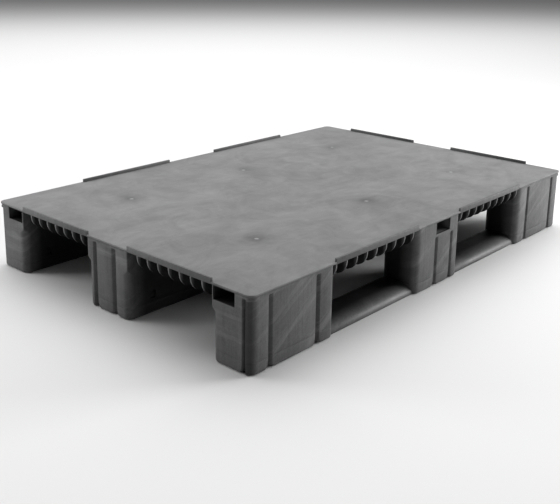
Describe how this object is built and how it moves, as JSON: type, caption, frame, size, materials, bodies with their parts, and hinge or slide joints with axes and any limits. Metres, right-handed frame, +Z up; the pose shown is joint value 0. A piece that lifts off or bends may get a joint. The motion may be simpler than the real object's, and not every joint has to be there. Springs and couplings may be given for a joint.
{
  "type": "plastic pallet",
  "caption": "Closed-deck plastic pallet on runners, with hollow fluted legs, four-way fork entry and raised rim strips over the fork openings.",
  "frame": {"origin": "on the floor under the middle of the pallet", "axes": "+X along the long side, +Y along the short side, +Z up"},
  "size_m": [1.2, 0.8, 0.16],
  "materials": {
    "deck_plastic": "moulded grey polyethylene, satin, with flow marks and scuffs",
    "leg_plastic": "moulded grey polyethylene, satin, with drag marks",
    "runner_plastic": "moulded grey polyethylene, satin, scuffed underneath",
    "rim_plastic": "moulded dark grey polyethylene, satin",
    "tube_steel": "galvanised steel, dull"
  },
  "bodies": {
    "root": {"top_deck": "deck_plastic", "corner_leg_front_left": "leg_plastic", "corner_leg_front_right": "leg_plastic", "corner_leg_rear_left": "leg_plastic", "corner_leg_rear_right": "leg_plastic", "side_leg_front": "leg_plastic", "side_leg_rear": "leg_plastic", "end_leg_left": "leg_plastic", "end_leg_right": "leg_plastic", "centre_leg": "leg_plastic", "runner_front": "runner_plastic", "runner_centre": "runner_plastic", "runner_rear": "runner_plastic", "steel_tube_front": "tube_steel", "steel_tube_rear": "tube_steel", "rim_front_left": "rim_plastic", "rim_front_right": "rim_plastic", "rim_rear_left": "rim_plastic", "rim_rear_right": "rim_plastic", "rim_left_front": "rim_plastic", "rim_left_rear": "rim_plastic", "rim_right_front": "rim_plastic", "rim_right_rear": "rim_plastic"}
  },
  "joints": []
}
